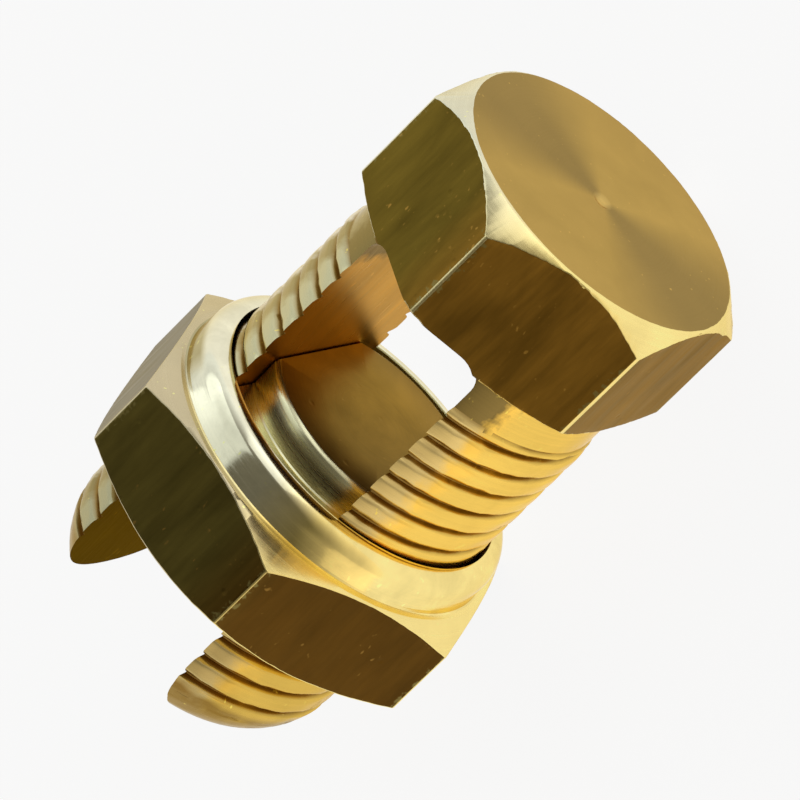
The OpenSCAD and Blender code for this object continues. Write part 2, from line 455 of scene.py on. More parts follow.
def drawn_group():
    """Long die lines of drawn bar along the bolt, fine and broad"""
    group, ins, outs = new_group(
        "drawn marks",
        [("Vector", "NodeSocketVector", None), ("Pitch", "NodeSocketFloat", 0.3)],
        [("Fine", "NodeSocketFloat"), ("Broad", "NodeSocketFloat")],
    )
    w = Wires(group)
    thin = w.put("ShaderNodeVectorMath", operation="SCALE")
    w.link(w.scaled(ins.outputs["Vector"], (1.0, 0.08, 1.0)), thin.inputs[0])
    w.link(w.maths("DIVIDE", 1.0, ins.outputs["Pitch"]), thin.inputs["Scale"])
    w.link(w.noise(thin.outputs[0], 1.0, detail=3.0, rough=0.6), outs.inputs["Fine"])
    wide = w.scaled(ins.outputs["Vector"], (0.34, 0.09, 0.34))
    w.link(w.noise(wide, 1.0, detail=4.0, rough=0.58, distort=0.35), outs.inputs["Broad"])
    return group


def handling_group():
    """Small dings, bright flecks and smudges from handling"""
    group, ins, outs = new_group(
        "handling marks",
        [("Vector", "NodeSocketVector", None)],
        [("Dings", "NodeSocketFloat"), ("Smudge", "NodeSocketFloat"), ("Flecks", "NodeSocketFloat")],
    )
    w = Wires(group)
    at = ins.outputs["Vector"]
    cells = w.put("ShaderNodeTexVoronoi")
    cells.inputs["Scale"].default_value = 0.3
    w.link(at, cells.inputs["Vector"])
    w.link(w.span(cells.outputs["Distance"], 0.03, 0.09, 1.0, 0.0), outs.inputs["Dings"])
    smudge = w.noise(at, 0.3, detail=4.0, rough=0.6, distort=0.4)
    w.link(smudge, outs.inputs["Smudge"])
    specks = w.span(w.noise(w.scaled(at, (2.6, 1.3, 2.6)), 1.0, detail=1.0), 0.69, 0.75)
    w.link(w.maths("MULTIPLY", specks, w.span(smudge, 0.5, 0.58)), outs.inputs["Flecks"])
    return group


GROUPS = {}


def place_group(w, build, vector):
    """Places the shared node group that build makes, which is made only once"""
    if build not in GROUPS:
        GROUPS[build] = build()
    node = w.put("ShaderNodeGroup", node_tree=GROUPS[build])
    w.link(vector, node.inputs["Vector"])
    return node


def start_material(name):
    """An empty metal material: its wires, Principled shader and position in mm about the bolt's axis"""
    material = bpy.data.materials.new(name)
    material.use_nodes = True
    shader = material.node_tree.nodes["Principled BSDF"]
    shader.inputs["Metallic"].default_value = 1.0
    w = Wires(material.node_tree)
    place = w.put("ShaderNodeTexCoord")
    centre = w.put("ShaderNodeMapping", vector_type="POINT")
    centre.inputs["Location"].default_value = (0, -FACE_AT, -AXIS_HEIGHT)
    centre.inputs["Scale"].default_value = (1 / MM, 1 / MM, 1 / MM)
    w.link(place.outputs["Object"], centre.inputs["Vector"])
    return w, shader, centre.outputs["Vector"]


def brass(name, pale, gold, sides, pattern, contrast, rough, depth,
          dress=None, pitch=0.22, edge=(0.95, 0.85, 0.62)):
    """Brass that runs from pale to gold between two places across the part, with the marks of its making.
    The change from pale towards +X to gold towards -X is partly a painted reflection of cool and warm
    light.

    contrast is how much the marks lighten and darken it, depth the height of the marks in mm, and edge the
    tint of its reflection at a grazing angle. dress may add what only one surface has.
    """
    w, shader, at = start_material(name)
    axes = place_group(w, axes_group, at)
    lines = place_group(w, pattern, at)
    lines.inputs["Pitch"].default_value = pitch
    marks = place_group(w, handling_group, at)
    # Painted reflections: the pale colour towards +X and the gold towards -X stand partly for cool and warm
    # light
    tone = w.mix(w.span(axes.outputs["Side"], *sides), pale, gold)
    tone = w.lit(tone, w.span(lines.outputs["Broad"], 0.3, 0.7, 1 - contrast, 1 + contrast))
    tone = w.lit(tone, w.span(lines.outputs["Fine"], 0.3, 0.7, 1 - 0.4 * contrast, 1 + 0.4 * contrast))
    if dress:
        tone = dress(w, at, axes.outputs, marks.outputs, tone)
    shader.inputs["Specular Tint"].default_value = (*edge, 1.0)
    fleck = tuple(min(1.0, 1.1 * c + lift) for c, lift in zip(gold, (0.20, 0.12, 0.03)))
    tone = w.mix(w.maths("MULTIPLY", marks.outputs["Flecks"], 0.7), tone, fleck)
    w.link(tone, shader.inputs["Base Color"])
    roughness = w.span(lines.outputs["Fine"], 0.25, 0.75, rough - 0.05, rough + 0.08)
    w.link(roughness, shader.inputs["Roughness"])
    height = w.maths("SUBTRACT", lines.outputs["Fine"], w.maths("MULTIPLY", marks.outputs["Dings"], 2.5))
    bump = w.put("ShaderNodeBump")
    bump.inputs["Strength"].default_value = 1.0
    bump.inputs["Distance"].default_value = depth * MM
    w.link(height, bump.inputs["Height"])
    w.link(bump.outputs["Normal"], shader.inputs["Normal"])


def face_sheen(w, at, axes, marks, tone):
    """The turned face shows a painted sheen, a greyer band across its middle between lighter wedges, and a
    painted highlight of small bright rings at its centre
    """
    # Painted sheen: an hourglass of lighter wedges and a greyer band, turned by 17 degrees
    turn = w.maths("SUBTRACT", axes["Turn"], math.radians(17))
    band = w.maths("COSINE", w.maths("MULTIPLY", turn, 2.0))
    greyer = w.mix(0.35, w.lit(tone, 0.74), (0.30, 0.22, 0.10))
    tone = w.mix(w.span(band, -0.3, 0.9), w.lit(tone, 1.10), greyer)
    # Painted highlight: bright rings round the pip at the centre
    return w.mix(w.maths("MULTIPLY", w.span(axes["Radius"], 0.9, 0.3), 0.7), tone, (0.80, 0.56, 0.18))


def worn_corners(limit):
    """Gives the dress of flats whose long corners beyond a radius are worn bright"""
    def dress(w, at, axes, marks, tone):
        ragged = w.noise(at, 1.7, detail=4.0)
        at_radius = w.maths("ADD", axes["Radius"], w.span(ragged, 0.3, 0.7, -0.30, 0.26))
        edge = w.span(at_radius, limit, limit + 0.1)
        return w.mix(w.maths("MULTIPLY", edge, 0.8), tone, (0.24, 0.19, 0.06))
    return dress


def from_wall(w, at, axes, ragged):
    """Distance from the slot's nearer wall, in mm, unsteady by as much as ragged"""
    s = bpy.context.scene.connector_bolt
    across = w.maths("SUBTRACT", axes["Across"], s.slot_shift)
    off = w.maths("SUBTRACT", w.maths("ABSOLUTE", across), s.slot_w / 2)
    return w.maths("ADD", off, w.span(w.noise(at, 0.9, detail=3.0), 0.3, 0.7, -ragged, ragged))


def sawn_ends(w, at, axes, marks, tone):
    """The thread is greyer at its burred ends beside the slot, on the +X leg partly as a painted cool
    reflection, and palest on the +X leg away from the slot as a painted reflection; its grooves are darker,
    partly grime and partly painted shade, and its tips are dirty
    """
    s = bpy.context.scene.connector_bolt
    off = from_wall(w, at, axes, 0.3)
    left = w.span(axes["Side"], 0.0, 1.0)
    # Painted reflection: the +X leg is pale further than about 4 mm from the slot
    tone = w.mix(w.maths("MULTIPLY", left, w.span(off, 3.5, 4.2)), tone, (0.86, 0.80, 0.66))
    # The ends beside the slot are greyer, partly burrs and partly a painted cool reflection on the +X leg
    end = w.mix(left, (0.78, 0.60, 0.25), (0.58, 0.54, 0.32))
    tone = w.mix(w.span(off, 1.7, 2.6, 1.0, 0.0), tone, end)
    tone = w.lit(tone, w.span(axes["Along"], NUT_HIGH, NUT_HIGH + 1.5, 1.0, 0.72))
    crest = s.thread_d / 2
    # Darker in the grooves, partly grime and partly painted shade, patchy with the smudges
    deep = w.span(axes["Radius"], crest - 0.14, crest - 0.4)
    groove_grime_and_shade = w.maths("MULTIPLY", deep, w.span(marks["Smudge"], 0.25, 0.5, 0.5, 0.9))
    return w.mix(groove_grime_and_shade, tone, (0.26, 0.145, 0.028))


def sawn_neck(w, at, axes, marks, tone):
    """The plain neck is dull and mottled beside the slot"""
    off = from_wall(w, at, axes, 0.5)
    return w.mix(w.span(off, 2.0, 2.8, 1.0, 0.0), tone, (0.25, 0.18, 0.06))


def painted_root_shadow(w, at, axes, marks, tone):
    """The slot's walls are brown and dull towards its closed end, as a painted shadow of the head"""
    s = bpy.context.scene.connector_bolt
    unsteady = w.span(w.noise(at, 0.7), 0.3, 0.7, -0.5, 0.5)
    deep = w.span(w.maths("ADD", axes["Along"], unsteady), s.head_len + 3.0, s.head_len + 2.0)
    # Painted shadow of the head on the walls near the slot's closed end
    return w.mix(deep, tone, (0.16, 0.095, 0.022))


def wall_to_tips(w, at, axes, marks, tone):
    """The slot's walls darken with grime where they leave the nut"""
    look = bpy.context.scene.connector_finish
    unsteady = w.span(w.noise(at, 0.6), 0.3, 0.7, -0.4, 0.4)
    past = w.span(w.maths("ADD", axes["Along"], unsteady), NUT_HIGH - 0.6, NUT_HIGH + 0.8)
    return w.mix(past, tuple(look.wall), tone)


def collar_clouds_and_dark_reflection(w, at, axes, marks, tone):
    """The collar has a painted dark reflection below its rim towards +X, and is faintly clouded all over"""
    tone = w.lit(tone, w.span(marks["Smudge"], 0.35, 0.65, 0.86, 1.06))
    # Painted dark reflection below the rim towards +X
    below_rim = w.span(axes["Along"], NUT_LOW + 1.0, NUT_LOW + 1.6)
    low = w.maths("MULTIPLY", w.span(axes["Side"], 7.0, 9.0), below_rim)
    return w.mix(w.maths("MULTIPLY", low, 0.75), tone, (0.30, 0.25, 0.10))


def palette():
    """The finishes, made once"""
    if "turned face" in bpy.data.materials:
        return bpy.data.materials
    look = bpy.context.scene.connector_finish
    s = bpy.context.scene.connector_bolt

    corner = s.head_af / 2 / math.cos(TURN / 12)
    nut_corner = NUT_WIDTH / 2 / math.cos(TURN / 12)
    dull = {"edge": (0.92, 0.78, 0.55)}
    drawn = {"pitch": 0.5}
    head_wear = {"dress": worn_corners(corner - 0.16)}
    nut_wear = {"dress": worn_corners(nut_corner - 0.14), "edge": (1.0, 0.92, 0.75)}
    # Name, colours towards +X and -X (partly painted cool and warm reflections), where they change,
    # pattern, contrast, roughness, depth, the rest
    finishes = (
        ("turned face", "face", "face", (8, -8), turned_group, 0.08, 0.34, 0.004,
         {"dress": face_sheen, **dull}),
        ("turned bevel", "bevel", "gold", (5, -6), turned_group, 0.10, 0.24, 0.004, {}),
        ("nut bevel", "nut_bevel", "gold", (-2, -9), turned_group, 0.08, 0.24, 0.004, {}),
        ("drawn flats", "flats", "flats_warm", (2, -2), drawn_group, 0.30, 0.38, 0.010,
         {**head_wear, **drawn, **dull}),
        ("nut flats", "nut_flats", "nut_flats_warm", (-4, -9), drawn_group, 0.22, 0.36, 0.008,
         {**nut_wear, **drawn}),
        ("cut thread", "thread_pale", "thread", (3, -3), turned_group, 0.12, 0.22, 0.008,
         {"dress": sawn_ends, "pitch": 0.3}),
        ("turned neck", "thread_pale", "thread", (3, -3), turned_group, 0.12, 0.2, 0.006,
         {"dress": sawn_neck}),
        ("sawn wall", "wall", "wall", (8, -8), drawn_group, 0.16, 0.3, 0.008, {"dress": painted_root_shadow, **dull}),
        ("dirty tips", "tips", "tips", (8, -8), drawn_group, 0.16, 0.38, 0.008,
         {"dress": wall_to_tips, "edge": (0.62, 0.48, 0.24)}),
        ("pad top", "pad_top", "pad_shade", (2, -6), turned_group, 0.28, 0.38, 0.006, dull),
        ("pad band", "pad_band", "pad_band", (8, -8), turned_group, 0.12, 0.26, 0.005, {}),
        ("polished collar", "collar", "gold", (-3, -7), turned_group, 0.06, 0.13, 0.003,
         {"dress": collar_clouds_and_dark_reflection}),
        ("nut inside", "inside", "inside", (8, -8), turned_group, 0.15, 0.35, 0.006, dull),
    )
    for name, pale, gold, *values, extra in finishes:
        brass(name, tuple(getattr(look, pale)), tuple(getattr(look, gold)), *values, **extra)
    return bpy.data.materials


# ---------------------------------------------------------------- hexagons and threads

def thread_start(s):
    """Where the thread's sweep begins, inside the neck"""
    return s.head_len + s.neck_len - 1.2 * s.pitch


def flat_normals(shift):
    """The directions that a hexagon's flats face, turned by a share of the angle between two"""
    angles = [TURN * (k + shift) / 6 for k in range(6)]
    return [Vector((math.cos(a), math.sin(a), 0)) for a in angles]


def flat_rows(outer, top_edge, low_edge, rows, reach, wave, seed):
    """Rings along a hexagon's flats, slightly wavy as drawn bar is, by noise taken at radius reach"""
    rings = []
    for k in range(rows + 1):
        share = k / rows

        def height(a, r, share=share):
            return top_edge(a) + ROW_MARGIN + (low_edge(a) - top_edge(a) - 2 * ROW_MARGIN) * share

        def radius(a, share=share):
            z = top_edge(a) + (low_edge(a) - top_edge(a)) * share
            p = (reach * math.cos(a), reach * math.sin(a), z * 0.35)
            return outer(a) - wave * (1 + grain(p, 0.8, seed))
        rings.append((radius, height))
    return rings


# ---------------------------------------------------------------- the bolt

def bolt_thread_profile(s):
    """One pitch of the thread as (radius, height): a rounded crest and the narrow groove after it"""
    crest = s.thread_d / 2
    root = crest - s.groove_depth
    flank = (s.groove_w - s.root_w) / 2
    half_root = s.root_w / 2
    return [
        (root, half_root),
        (root + 0.6 * s.groove_depth, half_root + 0.55 * flank),
        (crest - 0.14, half_root + 0.86 * flank),
        (crest - 0.05, half_root + flank + 0.05),
        (crest - 0.012, half_root + flank + 0.17),
        (crest, half_root + flank + 0.36),
        (crest, s.pitch - half_root - flank - 0.36),
        (crest - 0.012, s.pitch - half_root - flank - 0.17),
        (crest - 0.05, s.pitch - half_root - flank - 0.05),
        (crest - 0.14, s.pitch - half_root - 0.86 * flank),
        (root + 0.6 * s.groove_depth, s.pitch - half_root - 0.55 * flank),
        (root, s.pitch - half_root),
        (root, s.pitch + half_root),
    ]


def hex_head(s):
    """The head and the plain neck, lofted from rings that follow the hexagon and its turned bevels"""
    bm = bmesh.new()
    angles = hex_angles(0.9)
    face_r = s.head_af / 2 - PROUD
    rise = math.tan(s.bevel)
    under = math.tan(s.under_bevel)
    neck_r = s.neck_d / 2
    low = s.head_len

    def outer(a):
        return hex_radius(a, s.head_af, s.corner_round)

    def ragged(a, seed):
        p = (12 * math.cos(a), 12 * math.sin(a), seed)
        return s.burr * (0.7 * grain(p, 0.9, seed) + 0.6 * grain(p, 2.6, seed + 3))

    def top_edge(a):
        return (outer(a) - face_r) * rise + 0.06 + ragged(a, 1.0)

    def low_edge(a):
        return low - (outer(a) - face_r) * under - 0.06 + 0.5 * ragged(a, 5.0)

    # The turned pip, the face, and the bevel up to the flats' ragged upper edge
    rings = [
        (lambda a: 0.3, lambda a, r: 0.16),
        (lambda a: 0.55, lambda a, r: 0.13),
        (lambda a: 0.72, lambda a, r: 0.03),
        (lambda a: 0.85, lambda a, r: 0.0),
        (lambda a: 5.0, lambda a, r: 0.0),
        (lambda a: face_r - 0.3, lambda a, r: 0.0),
        (lambda a: face_r - 0.14 + 0.3 * ragged(a, 11.0), lambda a, r: 0.02),
        (lambda a: min(face_r + 0.06, outer(a) - 0.06), lambda a, r: max(0.0, r - face_r) * rise + 0.09),
        (lambda a: outer(a) - 0.05, lambda a, r: top_edge(a) - 0.03),
        (lambda a: outer(a) - 0.01, lambda a, r: top_edge(a) + 0.05),
    ]
    rings += flat_rows(outer, top_edge, low_edge, 14, 12, 0.018, 9.0)
    # The underside and the neck
    rings += [
        (lambda a: outer(a) - 0.03, lambda a, r: low_edge(a) - 0.03),
        (lambda a: outer(a) - 0.09, lambda a, r: low_edge(a) + 0.05),
        (lambda a: face_r - 0.12, lambda a, r: low),
        (lambda a: neck_r + 0.1, lambda a, r: low),
        (lambda a: neck_r, lambda a, r: low + 0.1),
        (lambda a: neck_r, lambda a, r: low + s.neck_len - 0.1),
        (lambda a: neck_r - 0.12, lambda a, r: low + s.neck_len),
        (lambda a: 4.0, lambda a, r: low + s.neck_len),
    ]
    face, end = loft(bm, angles, rings)
    cap(bm, face, (0, 0, 0.17))
    cap(bm, end, (0, 0, low + s.neck_len))
    bmesh.ops.rotate(bm, cent=(0, 0, 0), matrix=Matrix.Rotation(TURN / 12, 3, "Z"), verts=bm.verts)
    return to_object(bm, "bolt_head")


def threaded_legs(s):
    """The threaded shank, trimmed at its neck and rounded at its tips"""
    bm = bmesh.new()
    start = thread_start(s)
    turns = math.ceil((BOLT_LENGTH - start) / s.pitch)
    # The root's flat begins where a turn begins, so its middle lies half the flat further
    profile = [(r, h + s.root_w / 2) for r, h in bolt_thread_profile(s)]
    helix(bm, profile, s.pitch, turns, THREAD_STEPS, start)
    crest = s.thread_d / 2
    tip_mid = crest + 0.05 - s.tip_r
    tip_at = BOLT_LENGTH - math.sqrt(s.tip_r ** 2 - (s.slot_w / 2 - s.slot_shift - tip_mid) ** 2)
    neck_end = s.head_len + s.neck_len
    tear = 0.16
    sway = 0.12
    for v in bm.verts:
        r = math.hypot(v.co.x, v.co.y)
        if r > crest - 0.2:
            # The die left the crests torn here and there
            torn = max(0.0, grain(v.co, 0.9, 2.0) + 0.4 * grain(v.co, 2.4, 5.0) - 0.12)
            v.co.z += sway * grain(v.co, 1.2, 8.0)
            v.co.x *= 1 - tear * torn / r
            v.co.y *= 1 - tear * torn / r
        limit = crest + 1
        if v.co.z > tip_at:
            limit = tip_mid + math.sqrt(max(0.0, s.tip_r ** 2 - (v.co.z - tip_at) ** 2))
        elif v.co.z < neck_end + 0.35:
            limit = s.neck_d / 2 - 0.12 + max(0.0, v.co.z - neck_end) * 1.4
        if r > limit:
            v.co.x *= limit / r
            v.co.y *= limit / r
    close_open_ends(bm, [(0, 0, start + s.pitch / 2), (0, 0, start + s.pitch * (turns + 0.5))])
    return to_object(bm, "bolt_legs")


def slot_tool(s):
    """The saw's path: a slab with two rounded edges at the slot's closed end"""
    bm = bmesh.new()
    made = bmesh.ops.create_cube(bm, size=1)
    roof = s.head_len - s.slot_rise
    deep = BOLT_LENGTH + 6 - roof
    bmesh.ops.scale(bm, vec=(s.slot_w, 2 * s.head_af, deep), verts=made["verts"])
    bmesh.ops.translate(bm, vec=(s.slot_shift, 0, roof + deep / 2), verts=made["verts"])
    edges = [e for e in bm.edges if all(abs(v.co.z - roof) < 1e-3 for v in e.verts)
             and abs(e.verts[0].co.x - e.verts[1].co.x) < 1e-3]
    bmesh.ops.bevel(bm, geom=edges, offset=s.slot_corner, affect="EDGES", segments=8, profile=0.5,
                    material=-1)
    # A seam inside the nut gives the walls' tips a finish of their own
    bmesh.ops.bisect_plane(bm, geom=bm.verts[:] + bm.edges[:] + bm.faces[:],
                           plane_co=(0, 0, NUT_HIGH - TIPS_BEFORE), plane_no=(0, 0, 1))
    return to_object(bm, "slot_tool")


class CONNECTOR_OT_bolt(bpy.types.Operator):
    """Builds the split bolt: hexagon head, plain neck, slot and two threaded legs"""
    bl_idname = "connector.bolt"
    bl_label = "Build split bolt"

    def execute(self, context):
        s = context.scene.connector_bolt
        bolt = hex_head(s)
        combine(bolt, threaded_legs(s), "UNION")
        combine(bolt, slot_tool(s), "DIFFERENCE")
        normals = flat_normals(0)

        def sort_faces(at, normal):
            off = abs(at.x - s.slot_shift) - s.slot_w / 2
            in_wall = abs(off) < 0.02 and abs(normal.x) > 0.9
            at_root = s.head_len - s.slot_rise - 0.05 < at.z < s.head_len + s.slot_corner
            in_roof = off < 0 and at_root and normal.z > 0.05
            if in_wall or in_roof:
                return 6 if at.z > NUT_HIGH - TIPS_BEFORE else 4
            if at.z < s.head_len + 0.05:
                if max(normal.dot(n) for n in normals) > 0.985:
                    return 0
                return 2 if at.z < 0.3 and math.hypot(at.x, at.y) < s.head_af / 2 - 0.3 else 1
            return 5 if at.z < s.head_len + s.neck_len - 0.05 else 3

        mats = palette()
        names = ("drawn flats", "turned bevel", "turned face", "cut thread", "sawn wall", "turned neck",
                 "dirty tips")
        bolt.name = "split_bolt_dressed"
        finish_piece(bolt, lay_matrix(s.roll), "bolt", ["split_bolt"], sort_faces,
                     [mats[n] for n in names])
        return {"FINISHED"}


# ---------------------------------------------------------------- the pad

class CONNECTOR_OT_pad(bpy.types.Operator):
    """Builds the pressure pad: a turned block with a flange, sawn to the slot's width"""
    bl_idname = "connector.pad"
    bl_label = "Build pressure pad"

    def execute(self, context):
        s = context.scene.connector_bolt
        p = context.scene.connector_pad
        nut = context.scene.connector_nut
        lip_at = NUT_LOW + nut.lip_t
        flange_r = nut.seat_d / 2 - p.flange_gap
        pad_r = p.pad_d / 2
        shoulder = lip_at + p.flange_gap
        bm = bmesh.new()
        profile = [
            (0, PAD_TOP), (pad_r * 0.5, PAD_TOP), (pad_r - p.bevel - 0.05, PAD_TOP),
            (pad_r - p.bevel + 0.03, PAD_TOP + 0.04), (pad_r - 0.04, PAD_TOP + p.bevel - 0.05),
            (pad_r, PAD_TOP + p.bevel + 0.05), (pad_r, shoulder - 0.1), (pad_r + 0.1, shoulder),
            (flange_r - 0.1, shoulder), (flange_r, shoulder + 0.1),
            (flange_r, PAD_FOOT - 0.15), (flange_r - 0.15, PAD_FOOT), (0, PAD_FOOT),
        ]
        verts = [bm.verts.new((r, 0, z)) for r, z in profile]
        edges = [bm.edges.new(pair) for pair in zip(verts, verts[1:])]
        bmesh.ops.spin(bm, geom=verts + edges, cent=(0, 0, 0), axis=(0, 0, 1), dvec=(0, 0, 0),
                       angle=TURN, steps=PAD_STEPS, use_merge=True, use_duplicate=False)
        bmesh.ops.remove_doubles(bm, verts=bm.verts, dist=1e-4)
        half = s.slot_w / 2 - p.side_gap
        for side in (1, -1):
            cut = bmesh.ops.bisect_plane(
                bm, geom=bm.verts[:] + bm.edges[:] + bm.faces[:],
                plane_co=(s.slot_shift + side * half, 0, 0), plane_no=(side, 0, 0), clear_outer=True)
            rim = [g for g in cut["geom_cut"] if isinstance(g, bmesh.types.BMEdge)]
            bmesh.ops.holes_fill(bm, edges=rim, sides=0)
        rims = [e for e in bm.edges if e.is_manifold and e.calc_face_angle(0) > math.radians(60)
                and all(abs(abs(v.co.x - s.slot_shift) - half) < 1e-3 for v in e.verts)]
        bmesh.ops.bevel(bm, geom=rims, offset=0.07, affect="EDGES", segments=2, profile=0.5, material=-1)

        def sort_faces(at, normal):
            if normal.z < -0.9 and at.z < PAD_TOP + 0.1:
                return 1
            if abs(normal.x) > 0.9 and abs(abs(at.x - s.slot_shift) - half) < 0.05:
                return 2
            return 0

        pad = to_object(bm, "pressure_pad_dressed")
        mats = palette()
        finish_piece(pad, lay_matrix(s.roll), "pad", ["pressure_pad"], sort_faces,
                     [mats["pad band"], mats["pad top"], mats["sawn wall"]])
        return {"FINISHED"}


# ---------------------------------------------------------------- the nut

class CONNECTOR_OT_nut(bpy.types.Operator):
    """Builds the nut: a bevelled hexagon, a polished collar with a rolled rim, and the thread inside"""
    bl_idname = "connector.nut"
    bl_label = "Build nut"

    def execute(self, context):
        s = context.scene.connector_bolt
        n = context.scene.connector_nut
        nut = self.shell(s, n)
        combine(nut, self.bore_tool(s, n), "DIFFERENCE")
        hex_at = NUT_HIGH - n.hex_len
        normals = flat_normals(0.5)

        def sort_faces(at, normal):
            r = math.hypot(at.x, at.y)
            if r > NUT_WIDTH / 2 - 0.15 and max(normal.dot(v) for v in normals) > 0.985:
                return 0
            if r < s.thread_d / 2 + 0.3 and at.z > hex_at:
                return 3
            in_seat = r < n.seat_d / 2 + 0.02 and at.z > NUT_LOW + n.lip_t - 0.05
            if r < n.mouth_d / 2 + 0.04 or in_seat:
                return 4
            return 2 if at.z < hex_at - 0.02 else 1

        mats = palette()
        nut.name = "nut_dressed"
        names = ("nut flats", "nut bevel", "polished collar", "cut thread", "nut inside")
        finish_piece(nut, lay_matrix(), "nut", ["nut"], sort_faces,
                     [mats[name] for name in names])
        return {"FINISHED"}

    @staticmethod
    def shell(s, n):
        """The nut's body as a closed loft, with a plain hole where the thread will be cut"""
        bm = bmesh.new()
        angles = hex_angles(0.9)
        hex_at = NUT_HIGH - n.hex_len
        face_r = NUT_WIDTH / 2 - PROUD
        rise = math.tan(n.bevel)
        rounding = 0.3
        mouth_r = n.mouth_d / 2
        seat_r = n.seat_d / 2
        collar_r = n.collar_d / 2
        lip_at = NUT_LOW + n.lip_t
        seat_at = hex_at + SEAT_RISE
        hole_r = s.thread_d / 2 - s.groove_depth - 0.4
        # The flats' ragged edges keep this far from the turned faces, so that the skin never folds
        least = 0.08

        def outer(a):
            return hex_radius(a, NUT_WIDTH, rounding)

        def ragged(a, seed):
            p = (14 * math.cos(a), 14 * math.sin(a), seed)
            return 0.035 * grain(p, 0.8, seed) + 0.03 * grain(p, 2.4, seed + 3)

        def top_edge(a):
            return hex_at + max(least, (outer(a) - face_r) * rise + 0.05 + ragged(a, 2.0))

        def low_edge(a):
            return NUT_HIGH - max(least, (outer(a) - face_r) * rise + 0.05 - ragged(a, 7.0))

        def plain(r, z):
            return (lambda a: r, lambda a, rr: z)

        rim_at = NUT_LOW + n.rim_r
        # The seat, the lip and the mouth, then the rolled rim and the collar
        rings = [plain(hole_r, seat_at), plain(seat_r, seat_at), plain(seat_r, lip_at),
                 plain(mouth_r, lip_at), plain(mouth_r, NUT_LOW + 0.35),
                 plain(mouth_r + 0.03, NUT_LOW + 0.15)]
        for k in range(13):
            a = math.radians(98 - 98 * k / 12)
            r = max(mouth_r + 0.06, collar_r - n.rim_r + n.rim_r * math.cos(a))
            rings.append(plain(r, rim_at - n.rim_r * math.sin(a)))
        rings += [
            plain(collar_r, hex_at - 0.25),
            plain(collar_r + 0.06, hex_at - 0.06),
            plain(collar_r + 0.2, hex_at),
            plain(face_r - 0.15, hex_at),
            (lambda a: face_r - 0.02, lambda a, r: hex_at + 0.02),
            (lambda a: outer(a) - 0.05, lambda a, r: top_edge(a) - 0.03),
            (lambda a: outer(a) - 0.01, lambda a, r: top_edge(a) + 0.05),
        ]
        rings += flat_rows(outer, top_edge, low_edge, 10, 14, 0.012, 4.0)
        rings += [
            (lambda a: outer(a) - 0.01, lambda a, r: low_edge(a) - 0.05),
            (lambda a: outer(a) - 0.05, lambda a, r: low_edge(a) + 0.03),
            (lambda a: face_r - 0.02, lambda a, r: NUT_HIGH - 0.02),
            plain(face_r - 0.15, NUT_HIGH),
            plain(s.thread_d / 2 - s.groove_depth + n.thread_gap + n.bore_bevel, NUT_HIGH),
            plain(hole_r, NUT_HIGH - n.bore_bevel - 0.5),
        ]
        loft(bm, angles, rings + rings[:1])
        bmesh.ops.remove_doubles(bm, verts=bm.verts, dist=1e-4)
        return to_object(bm, "nut_shell")

    @staticmethod
    def bore_tool(s, n):
        """A threaded rod, a running clearance larger than the bolt's, that cuts the nut's thread"""
        bm = bmesh.new()
        start = thread_start(s)
        seat_at = NUT_HIGH - n.hex_len + SEAT_RISE
        first = start + math.floor((seat_at - start) / s.pitch) * s.pitch - 2 * s.pitch
        turns = math.ceil((NUT_HIGH - first) / s.pitch) + 1
        crest = s.thread_d / 2 + n.thread_gap
        root = crest - s.groove_depth
        widen = n.thread_gap * ((s.groove_w - s.root_w) / s.groove_depth - 4 / 3)
        top_w = s.groove_w + widen
        low_w = s.root_w + widen
        profile = [(root, 0), (root, low_w), (crest, (top_w + low_w) / 2),
                   (crest, s.pitch - (top_w - low_w) / 2), (root, s.pitch)]
        helix(bm, profile, s.pitch, turns, THREAD_STEPS, first)
        close_open_ends(bm, [(0, 0, first + s.pitch / 2), (0, 0, first + s.pitch * (turns + 0.5))])
        bmesh.ops.rotate(bm, cent=(0, 0, 0), matrix=Matrix.Rotation(-s.roll, 3, "Z"), verts=bm.verts)
        return to_object(bm, "bore_tool")


# ---------------------------------------------------------------- the stage

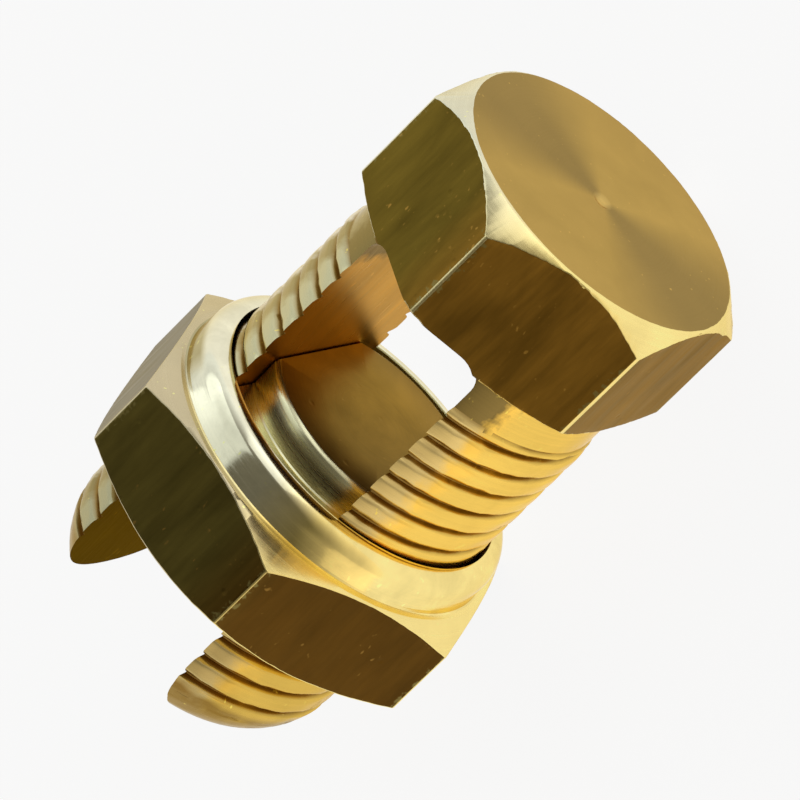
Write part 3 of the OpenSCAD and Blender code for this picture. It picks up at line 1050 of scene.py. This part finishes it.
class CONNECTOR_OT_stage(bpy.types.Operator):
    """Builds the floor, the lamps, the world and the camera"""
    bl_idname = "connector.stage"
    bl_label = "Build stage"

    def execute(self, context):
        scene = context.scene
        scene.view_settings.view_transform = "Standard"
        self.floor()
        self.world(scene)
        self.lamp("front_softbox", (0.15, -0.90, 0.40), (0.5, 0.7), 0.6, (0.95, 0.98, 1.0))
        self.lamp("cool_softbox", (0.72, -0.05, 0.69), (1.05, 0.95), 0.62, (0.90, 0.97, 1.0))
        self.lamp("warm_softbox", (-0.86, 0.42, 0.28), (0.5, 0.5), 0.22, (1.0, 0.86, 0.62))
        self.camera(scene)
        return {"FINISHED"}

    @staticmethod
    def floor():
        bm = bmesh.new()
        bmesh.ops.create_grid(bm, x_segments=2, y_segments=2, size=1.5)
        obj = to_object(bm, "floor")
        material = bpy.data.materials.new("pale floor")
        material.use_nodes = True
        w = Wires(material.node_tree)
        shader = material.node_tree.nodes["Principled BSDF"]
        shader.inputs["Base Color"].default_value = (0.94, 0.94, 0.94, 1)
        shader.inputs["Roughness"].default_value = 0.9
        # Seen directly or in the metal, most of the floor's white is its own, and the rest takes the shadow
        glow = w.put("ShaderNodeEmission")
        path = w.put("ShaderNodeLightPath")
        seen = w.maths("MAXIMUM", path.outputs["Is Camera Ray"], path.outputs["Is Glossy Ray"])
        seen = w.maths("MAXIMUM", seen, path.outputs["Is Transmission Ray"])
        blend = w.put("ShaderNodeMixShader")
        w.link(w.maths("MULTIPLY", seen, 0.9), blend.inputs[0])
        w.link(shader.outputs[0], blend.inputs[1])
        w.link(glow.outputs[0], blend.inputs[2])
        w.link(blend.outputs[0], material.node_tree.nodes["Material Output"].inputs["Surface"])
        obj.data.materials.append(material)

    @staticmethod
    def world(scene):
        """A studio that is pale near the floor and darker overhead"""
        world = bpy.data.worlds.new("studio")
        scene.world = world
        world.use_nodes = True
        w = Wires(world.node_tree)
        place = w.put("ShaderNodeTexCoord")
        split = w.put("ShaderNodeSeparateXYZ")
        w.link(place.outputs["Generated"], split.inputs[0])
        side = w.span(split.outputs[0], -0.7, 0.7)
        low = w.mix(side, (0.98, 0.90, 0.76), (0.90, 0.94, 0.98))
        tone = w.mix(w.span(split.outputs[2], 0.06, 0.78), low, (0.14, 0.13, 0.10))
        w.link(tone, world.node_tree.nodes["Background"].inputs["Color"])

    @staticmethod
    def lamp(name, direction, size, level, colour):
        """A softbox, sized as wide and tall in metres, about as bright as level times a white card"""
        light = bpy.data.lights.new(name, "AREA")
        light.shape = "RECTANGLE"
        light.size, light.size_y = size
        light.energy = level * math.pi * size[0] * size[1]
        light.color = colour
        back = Vector(direction).normalized()
        obj = bpy.data.objects.new(name, light)
        place = Matrix.Translation(back * LAMP_AWAY + Vector((0, 0, AXIS_HEIGHT * MM)))
        obj.matrix_world = place @ back.to_track_quat("Z", "Y").to_matrix().to_4x4()
        obj.visible_camera = False
        bpy.context.scene.collection.objects.link(obj)

    @staticmethod
    def camera(scene):
        azimuth = math.radians(-37.55)
        elevation = math.radians(54.96)
        roll = math.radians(-91.36)
        distance = 0.58687
        aim = Vector((0.41, -1.99, 13.42)) * MM
        level = math.cos(elevation)
        away = Vector((math.sin(azimuth) * level, -math.cos(azimuth) * level, math.sin(elevation)))
        data = bpy.data.cameras.new("camera")
        data.sensor_width = 36
        data.lens = 372.6
        data.clip_start = 0.01
        obj = bpy.data.objects.new("camera", data)
        turn = away.to_track_quat("Z", "Y").to_matrix().to_4x4() @ Matrix.Rotation(roll, 4, "Z")
        obj.matrix_world = Matrix.Translation(aim + away * distance) @ turn
        scene.collection.objects.link(obj)
        scene.camera = obj


# ---------------------------------------------------------------- panel and registration

class CONNECTOR_PT_panel(bpy.types.Panel):
    """Lists the pieces in the sidebar"""
    bl_label = "Split bolt connector"
    bl_idname = "CONNECTOR_PT_panel"
    bl_space_type = "VIEW_3D"
    bl_region_type = "UI"
    bl_category = "Connector"

    def draw(self, context):
        for label in ("connector.bolt", "connector.pad", "connector.nut", "connector.stage"):
            self.layout.operator(label)
        for group in ("connector_bolt", "connector_nut", "connector_pad", "connector_finish"):
            box = self.layout.box()
            values = getattr(context.scene, group)
            for key in values.__annotations__:
                box.prop(values, key)


GROUPS_OF_SETTINGS = {
    "connector_bolt": ConnectorBoltSizes,
    "connector_nut": ConnectorNutSizes,
    "connector_pad": ConnectorPadSizes,
    "connector_finish": ConnectorFinish,
}
CLASSES = (*GROUPS_OF_SETTINGS.values(), CONNECTOR_OT_bolt, CONNECTOR_OT_pad, CONNECTOR_OT_nut,
           CONNECTOR_OT_stage, CONNECTOR_PT_panel)


def register():
    for cls in CLASSES:
        bpy.utils.register_class(cls)
    for name, cls in GROUPS_OF_SETTINGS.items():
        setattr(bpy.types.Scene, name, bpy.props.PointerProperty(type=cls))


def unregister():
    for name in GROUPS_OF_SETTINGS:
        delattr(bpy.types.Scene, name)
    for cls in reversed(CLASSES):
        bpy.utils.unregister_class(cls)


def main():
    register()
    bpy.ops.connector.bolt()
    bpy.ops.connector.pad()
    bpy.ops.connector.nut()
    bpy.ops.connector.stage()


if __name__ == "__main__":
    main()
